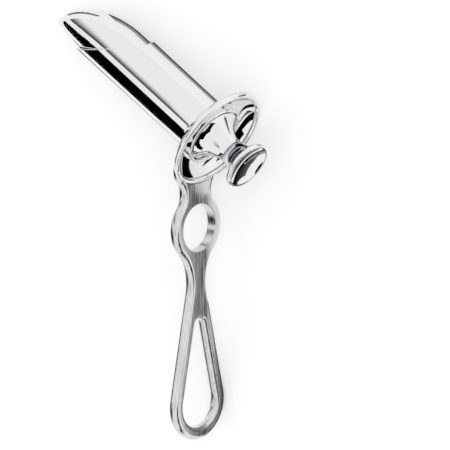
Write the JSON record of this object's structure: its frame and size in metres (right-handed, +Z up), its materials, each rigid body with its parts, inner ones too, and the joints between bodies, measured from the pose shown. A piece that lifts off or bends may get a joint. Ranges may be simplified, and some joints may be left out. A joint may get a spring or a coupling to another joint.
{
  "type": "anal speculum with obturator",
  "caption": "Tubular speculum with a slanted mouth, dished flange and leaning loop handle, holding a domed obturator that slides out by its flared knob.",
  "frame": {"origin": "centre of the whole box's underside, on the surface that the instrument lies on", "axes": "+Z up from that surface; the tube's axis lies in a plane parallel to X and Z and points to +X, down by about 9 degrees; the handle runs towards +Y and -X"},
  "size_m": [0.1588, 0.1516, 0.0486],
  "materials": {
    "tube_steel": "mirror-polished stainless steel",
    "flange_steel": "mirror-polished stainless steel",
    "handle_steel": "polished stainless steel with a fine lengthwise grain",
    "obturator_steel": "mirror-polished stainless steel"
  },
  "bodies": {
    "speculum": {"speculum_tube": "tube_steel", "speculum_flange": "flange_steel", "speculum_handle": "handle_steel"},
    "obturator": {"obturator_barrel": "obturator_steel", "obturator_stop_disc": "obturator_steel", "obturator_knob": "obturator_steel"}
  },
  "joints": [
    {"name": "obturator_slide", "type": "slide", "parent": "speculum", "child": "obturator", "axis": [-0.9866, 0, 0.163], "range_m": [0, 0.11]}
  ]
}
